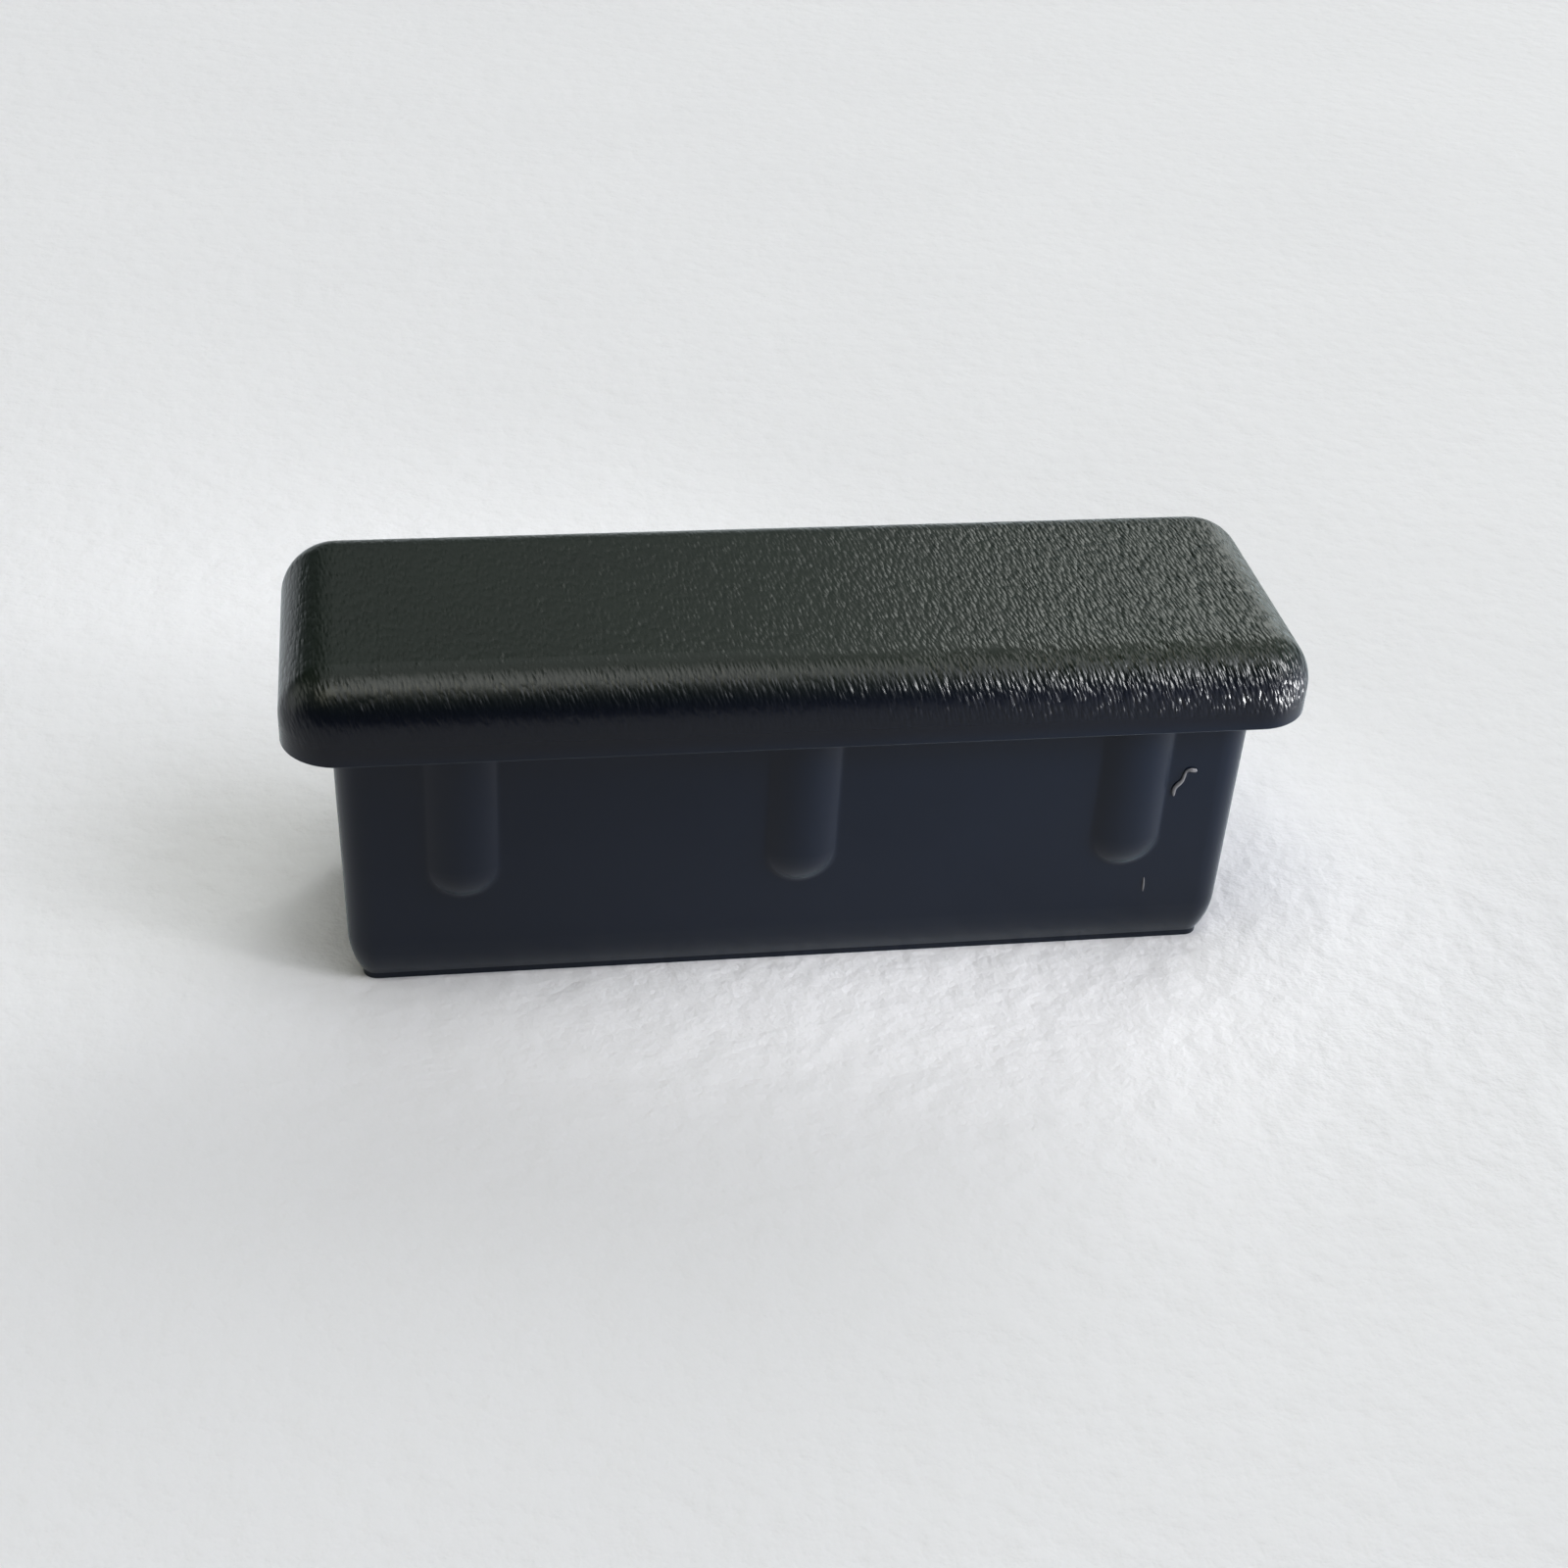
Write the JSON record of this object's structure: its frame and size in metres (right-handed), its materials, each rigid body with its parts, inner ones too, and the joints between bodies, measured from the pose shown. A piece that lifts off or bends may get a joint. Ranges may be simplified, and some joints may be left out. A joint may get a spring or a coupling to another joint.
{
  "type": "tube end cap",
  "caption": "Push-in end cap for a rectangular tube: soft-edged grained head on a hollow drafted plug with domed grip ribs down each long side.",
  "frame": {"origin": "middle of the plan at the level of the open rim, on which the cap stands", "axes": "+X along the long side of the head, +Y across it, +Z from the rim up to the head"},
  "size_m": [0.06, 0.02, 0.0222],
  "materials": {
    "black_moulding": "leather-like grain on the head, smooth and slightly shiny on the plug"
  },
  "bodies": {
    "root": {"end_cap": "black_moulding"}
  },
  "joints": []
}
